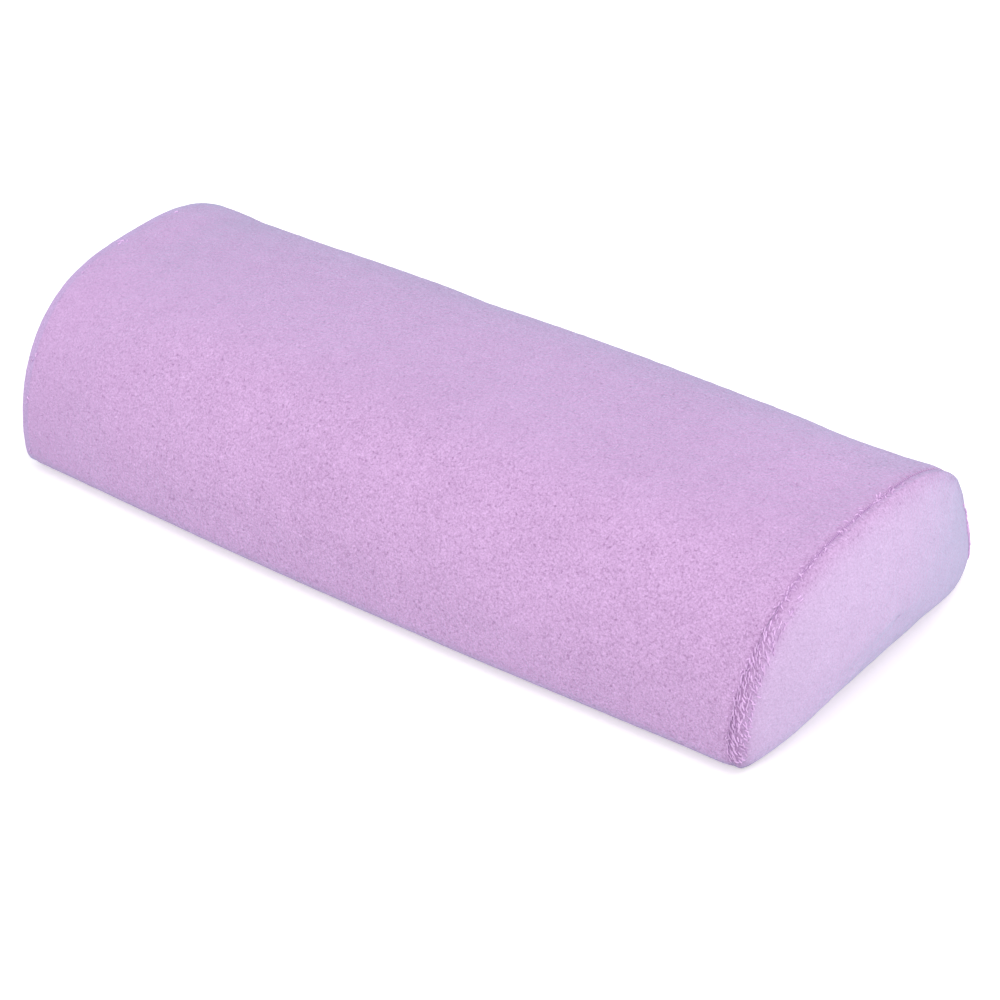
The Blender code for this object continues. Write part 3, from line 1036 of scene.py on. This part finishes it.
def make_seam_loops(place, side, wrap_rows, end_rows, material):
    """Pile loops that the seam has pulled long, on both sides of it."""
    chance = np.random.default_rng(LOOP_SEED + side)
    parts = []
    few_on_end, few_on_wrap = FEW_RIGHT if side > 0 else FEW_LEFT
    for grid, closed, row_starts, crowd, few_share in (
        (end_rows, True, END_LOOP_ROWS, max(side, 0), few_on_end),
        (wrap_rows, False, WRAP_LOOP_ROWS, 0, few_on_wrap),
    ):
        normals = grid_normals(grid, closed)
        steps = np.linalg.norm(np.diff(grid[:, grid.shape[1] // 2], axis=0), axis=1)
        distance = np.concatenate([[0.0], np.cumsum(steps)])
        parts.append(
            loop_lines(grid, normals, distance, closed, chance, row_starts, crowd, few_share)
        )
    lines, radii, tones = (np.concatenate(group) for group in zip(*parts))
    loops = tubes(f"seam_loops_{place}", lines, radii, tones)
    set_finish(loops, material)
    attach(loops, "cushion")


def block(name, low, high):
    """A box between two corners, ready to be shaped."""
    middle = (Vector(low) + Vector(high)) / 2
    bpy.ops.mesh.primitive_cube_add(size=1.0, location=middle)
    obj = bpy.context.object
    lone(obj)
    obj.name = name
    obj.scale = Vector(high) - Vector(low)
    bpy.ops.object.transform_apply(location=True, rotation=True, scale=True)
    return obj


def round_corners(obj, corner, wanted=lambda at: True):
    """Bevel the upright edges at wanted places, by a radius and a number of steps."""
    lone(obj)
    bpy.ops.object.mode_set(mode="EDIT")
    bpy.ops.mesh.select_mode(type="EDGE")
    bpy.ops.mesh.select_all(action="DESELECT")
    builder = bmesh.from_edit_mesh(obj.data)
    for edge in builder.edges:
        first, second = (vertex.co for vertex in edge.verts)
        edge.select_set((first - second).xy.length < TOUCHING and wanted(first))
    bmesh.update_edit_mesh(obj.data)
    width, steps = corner
    bpy.ops.mesh.bevel(offset=width, segments=steps, affect="EDGES", clamp_overlap=True)
    bpy.ops.object.mode_set(mode="OBJECT")


def apply_modifier(obj, kind, **settings):
    """Add a modifier with settings and apply it."""
    lone(obj)
    modifier = obj.modifiers.new(kind.lower(), kind)
    for key, value in settings.items():
        setattr(modifier, key, value)
    bpy.ops.object.modifier_apply(modifier=modifier.name)


def soften(obj, width):
    """Round all sharp edges a little and shade the rest smooth."""
    apply_modifier(obj, "BEVEL", width=width, segments=3, limit_method="ANGLE", angle_limit=0.6)
    shade_smooth(obj, EDGE_ANGLE)


def cut(obj, tool):
    """Cut a tool's shape out of an object and take the tool away."""
    apply_modifier(obj, "BOOLEAN", operation="DIFFERENCE", solver="EXACT", object=tool)
    bpy.data.objects.remove(tool)


def joined(name, parts):
    """Join parts into one named object with its faces outwards."""
    lone(parts[0])
    for part in parts:
        part.select_set(True)
    bpy.ops.object.join()
    obj = bpy.context.object
    obj.name = name
    obj.data.name = name
    lone(obj)
    bpy.ops.object.mode_set(mode="EDIT")
    bpy.ops.mesh.select_all(action="SELECT")
    bpy.ops.mesh.normals_make_consistent(inside=False)
    bpy.ops.object.mode_set(mode="OBJECT")
    return obj


def taper(obj, from_x, to_x, share):
    """Narrow a part evenly in y from one x to another."""
    for vertex in obj.data.vertices:
        along = (vertex.co.x - from_x) / (to_x - from_x)
        vertex.co.y *= 1 + (share - 1) * min(max(along, 0.0), 1.0)


def slider_plate(name, bottom, top):
    """A shield-shaped plate of the slider, square at its mouth and round at its tail."""
    plate = block(name, (slider_low.x, slider_low.y, bottom), (slider_high.x, slider_high.y, top))
    round_corners(plate, TAIL_CORNER, lambda at: at.x < SLIDER_X)
    round_corners(plate, MOUTH_CORNER, lambda at: at.x > slider_high.x - TOUCHING)
    soften(plate, PLATE_EDGE)
    return plate


def slider_flange(name, side):
    """A side wall of the slider, which holds the coil in."""
    near, far = sorted((side * (slider_high.y - FLANGE), side * slider_high.y))
    low = (slider_low.x + WALL_START, near, PLATE_TOP - SUNK)
    flange = block(name, low, (slider_high.x - WALL_STOP, far, COIL_TOP))
    soften(flange, THIN_EDGE)
    return flange


def make_bail():
    """The bow that holds the pull: a ring of flat bar, sunk into the lower plate."""
    drop = PLATE_LOW - slider_low.z
    bars = []
    for name, reach, width in (
        ("bail", BAIL_REACH, BAIL_WIDTH),
        ("bail_hole", BAIL_HOLE, 2 * BAIL_WIDTH),
    ):
        bpy.ops.mesh.primitive_cylinder_add(
            vertices=BAIL_STEPS, radius=reach, depth=width, rotation=(math.pi / 2, 0, 0)
        )
        bar = bpy.context.object
        lone(bar)
        bar.name = name
        bar.scale = (1.0, (drop + reach - BAIL_REACH) / reach, 1.0)
        bar.location = (SLIDER_X, 0, PLATE_LOW)
        bpy.ops.object.transform_apply(location=True, rotation=True, scale=True)
        bars.append(bar)
    bail, hole = bars
    cut(bail, hole)
    low = (SLIDER_X - CLEAR, -CLEAR, PLATE_LOW + BAIL_SUNK)
    cut(bail, block("bail_top", low, (SLIDER_X + CLEAR, CLEAR, 2 * CLEAR)))
    soften(bail, BAIL_EDGE)
    return bail


def make_slider(material):
    """The zip's slider: two plates, side walls, the post between them and the bail."""
    start, stop = slider_high.x - POST_START, slider_high.x - WALL_STOP
    low = (start, -POST_HALF, PLATE_TOP - POST_UNDER)
    post = block("slider_post", low, (stop, POST_HALF, slider_high.z - POST_OVER))
    taper(post, slider_high.x - POST_WIDEST, start, POST_TAPER)
    parts = [
        slider_plate("slider", PLATE_LOW, PLATE_TOP),
        slider_plate("slider_cover", slider_high.z - (PLATE_TOP - PLATE_LOW), slider_high.z),
        slider_flange("slider_wall_front", -1),
        slider_flange("slider_wall_back", 1),
        make_bail(),
        post,
    ]
    for x in (slider_low.x + RIB_PLACE, slider_high.x - RIB_PLACE):
        low = (x - RIB_HALF, -RIB_LONG, PLATE_LOW - RIB_PROUD)
        rib = block("rib", low, (x + RIB_HALF, RIB_LONG, PLATE_LOW + SUNK))
        round_corners(rib, RIB_CORNER)
        soften(rib, RIB_EDGE)
        parts.append(rib)
    slider = joined("zip_slider_cast", parts)
    set_finish(slider, material)
    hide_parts("zip_slider")
    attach(slider, "slider")


def make_pull(material):
    """The zip's pull: a waisted tongue with a window for the bail and a sunk thumb rest."""
    tongue = block("zip_pull_tongue", pull_low, pull_high)
    lone(tongue)
    bpy.ops.object.mode_set(mode="EDIT")
    bpy.ops.mesh.select_all(action="SELECT")
    bpy.ops.mesh.subdivide(number_cuts=1)
    bpy.ops.object.mode_set(mode="OBJECT")
    middle = (pull_low.x + pull_high.x) / 2
    for vertex in tongue.data.vertices:
        if abs(vertex.co.x - middle) < TOUCHING:
            vertex.co.x = SLIDER_X - WAIST
            vertex.co.y *= WAIST_SHARE
    tip, head = pull_low.x + CORNER_REACH, pull_high.x - CORNER_REACH
    round_corners(tongue, TIP_CORNER, lambda at: abs(at.y) > CORNER_REACH and at.x < tip)
    round_corners(tongue, SMALL_CORNER, lambda at: abs(at.y) > CORNER_REACH and at.x > head)
    low = (SLIDER_X - WINDOW_FAR, -WINDOW_HALF, 0)
    window = block("pull_window", low, (SLIDER_X - WINDOW_NEAR, WINDOW_HALF, CLEAR))
    round_corners(window, SMALL_CORNER)
    cut(tongue, window)
    for bottom, top in ((0, pull_low.z + REST_DEPTH), (pull_high.z - REST_DEPTH, CLEAR)):
        low = (pull_low.x + REST_MARGIN, -REST_HALF, bottom)
        rest = block("thumb_rest", low, (SLIDER_X - REST_NEAR, REST_HALF, top))
        round_corners(rest, REST_CORNER)
        cut(tongue, rest)
    soften(tongue, THIN_EDGE)
    tongue = joined("zip_pull_tongue", [tongue])
    set_finish(tongue, material)
    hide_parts("zip_pull")
    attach(tongue, "pull")


def make_foam(material):
    """The foam that fills the cover: the solid's own block, its ends drawn in under the panels."""
    builder = bmesh.new()
    builder.from_mesh(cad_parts["foam_core"].data)
    bmesh.ops.remove_doubles(builder, verts=builder.verts, dist=TOUCHING)
    for vertex in builder.verts:
        share = (abs(vertex.co.x) - DRAWN_FROM) / (DRAWN_TO - DRAWN_FROM)
        vertex.co.x -= math.copysign(FOAM_DRAWN_IN * min(max(share, 0.0), 1.0), vertex.co.x)
    foam = put_in_scene("foam_block", bpy.data.meshes.new("foam_block"))
    write_outwards(builder, foam.data)
    shade_smooth(foam, EDGE_ANGLE)
    set_finish(foam, material)
    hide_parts("foam_core")
    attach(foam, "cushion")


def make_coil(place, side, material):
    """One row of coil teeth: nylon wire wound along the tape's edge, with a bump at each head."""
    low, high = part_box(f"zip_coil_{place}")
    turns = int((high.x - low.x) / COIL_PITCH)
    steps = turns * COIL_STEPS + 1
    turn = np.linspace(0, 2 * math.pi * turns, steps)
    wire = COIL_WIRE * (1 + COIL_BUMP * np.clip(-np.cos(turn), 0, 1) ** 4)
    outer = max(abs(low.y), abs(high.y)) - COIL_WIRE
    inner = COIL_HEAD + COIL_WIRE * (1 + COIL_BUMP)
    middle = (outer + inner) / 2
    y = side * (middle + (outer - inner) / 2 * np.cos(turn))
    z = (low.z + high.z) / 2 + ((high.z - low.z) / 2 - COIL_WIRE) * np.sin(turn)
    x = low.x + COIL_WIRE + (high.x - low.x - 2 * COIL_WIRE) * turn / turn[-1]
    lines = np.stack([x, y, z], axis=1)[None]
    coil = tubes(f"coil_teeth_{place}", lines, wire[None], np.zeros(1))
    set_finish(coil, material)
    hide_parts(f"zip_coil_{place}")
    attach(coil, "cushion")


def make_hem_stitches(material):
    """The two rows of stitches that hold the hems and the zip tapes, sunk in the towelling."""
    lines = []
    reach = OPENING / 2 + STITCH_PAST
    count = int(2 * reach / STITCH_PITCH)
    share = np.linspace(0, 1, STITCH_STEPS)
    for side in (-1, 1):
        for number in range(count):
            x = -reach + (number + STITCH_GAP + (1 - 2 * STITCH_GAP) * share) * STITCH_PITCH
            y = np.full_like(x, side * STITCH_Y)
            z = STITCH_LOW + STITCH_WIRE + STITCH_SAG * (1 - np.sin(share * math.pi) ** 0.5)
            lines.append(np.stack([x, y, z], axis=1))
    lines = np.array(lines)
    radii = np.full(lines.shape[:2], STITCH_WIRE)
    tones = np.random.default_rng(STITCH_SEED).uniform(0, 1, len(lines))
    stitches = tubes("hem_stitches", lines, radii, tones)
    set_finish(stitches, material)
    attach(stitches, "cushion")


# Camera, fitted to the outline of the cushion in the photograph
AZIMUTH = math.radians(40.411)
ELEVATION = math.radians(34.099)
ROLL = math.radians(-3.458)
DISTANCE = 0.97094
TARGET = Vector((0.0, 0.0, 0.03621))
SHIFT_RIGHT = 0.005739
SHIFT_UP = -0.025407
LENS = 117.564
SENSOR = 36.0


def make_camera():
    """The camera at the photograph's angle."""
    back = Vector((
        math.sin(AZIMUTH) * math.cos(ELEVATION),
        -math.cos(AZIMUTH) * math.cos(ELEVATION),
        math.sin(ELEVATION),
    ))
    right = (-back).cross(Vector((0, 0, 1))).normalized()
    up = right.cross(-back)
    target = TARGET + right * SHIFT_RIGHT + up * SHIFT_UP
    turned_right = math.cos(ROLL) * right + math.sin(ROLL) * up
    turned_up = -math.sin(ROLL) * right + math.cos(ROLL) * up
    camera_data = bpy.data.cameras.new("camera")
    camera_data.lens = LENS
    camera_data.sensor_width = SENSOR
    camera_data.clip_start = 0.01
    camera = put_in_scene("camera", camera_data)
    turn = Matrix((turned_right, turned_up, back)).transposed().to_4x4()
    camera.matrix_world = Matrix.Translation(target + back * DISTANCE) @ turn
    bpy.context.scene.camera = camera


def make_light(name, place, size, power):
    """A square soft box that faces the cushion."""
    light_data = bpy.data.lights.new(name, "AREA")
    light_data.shape = "SQUARE"
    light_data.size = size
    light_data.energy = power
    light = put_in_scene(name, light_data)
    light.location = place
    aim = Vector((0, 0, CROWN / 2)) - Vector(place)
    light.rotation_mode = "QUATERNION"
    light.rotation_quaternion = aim.to_track_quat("-Z", "Y")


def make_floor():
    """A pale floor that keeps the cushion's shadow and is white where it only shows."""
    bpy.ops.mesh.primitive_plane_add(size=FLOOR_SIZE, location=(0, 0, -FLOOR_DROP))
    floor = bpy.context.object
    floor.name = "floor"
    graph = new_finish("pale floor")
    paint = graph.add("ShaderNodeBsdfDiffuse", {}, {"Color": opaque([FLOOR_WHITE] * 3)})
    strength = graph.rays("Camera", "Glossy", "Transmission") * FLOOR_GLOW
    glow = graph.add("ShaderNodeEmission", {}, {"Strength": strength})
    surface = graph.add("ShaderNodeAddShader", {}, {0: paint, 1: glow})
    graph.add("ShaderNodeOutputMaterial", {}, {"Surface": surface})
    set_finish(floor, graph.owner)


def make_world():
    """Soft white light from all sides, and a white background."""
    world = bpy.data.worlds.new("white studio")
    bpy.context.scene.world = world
    graph = Graph(world)
    levels = {0: graph.rays("Camera"), 2: WORLD_LIGHT, 3: 1.0}
    strength = graph.add("ShaderNodeMix", {"data_type": "FLOAT"}, levels)
    white = {"Color": (1, 1, 1, 1), "Strength": strength}
    light = graph.add("ShaderNodeBackground", {}, white)
    graph.add("ShaderNodeOutputWorld", {}, {"Surface": light})


bpy.context.scene.view_settings.view_transform = "Standard"
make_camera()
make_floor()
make_world()
for light in LIGHTS:
    make_light(*light)
wrap_points = make_wrap(towelling_finish("lilac towelling", TOWELLING, SHADED_WRAP_TOWELLING, 0.5, 0.6))
# The end panels' finishes are lit and shaded copies of the one towelling: the right panel is
# painted lighter, the left is painted in shade
end_materials = {
    "left": towelling_finish("far end towelling", TOWELLING, SHADED_LEFT_TOWELLING, 0.45, 0.5),
    "right": towelling_finish("end towelling", TOWELLING, LIT_RIGHT_TOWELLING, 0.45, 0.5),
}
loop_material = loops_finish()
for place, side in (("left", -1), ("right", 1)):
    end_points = make_end_panel(place, side, end_materials[place])
    seam_points = wrap_points if side < 0 else wrap_points[::-1]
    make_seam_loops(place, side, seam_points[:SEAM_STATIONS], end_points, loop_material)
make_foam(foam_finish())
thread_material = thread_finish()
tape_material = tape_finish()
coil_material = nylon_finish()
metal_material = metal_finish()
for place, side in (("front", -1), ("back", 1)):
    make_coil(place, side, coil_material)
make_hem_stitches(thread_material)
make_slider(metal_material)
make_pull(metal_material)
for name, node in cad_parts.items():
    if name.startswith("seam_thread"):
        set_finish(node, thread_material)
    elif name.startswith("zip_tape"):
        set_finish(node, tape_material)
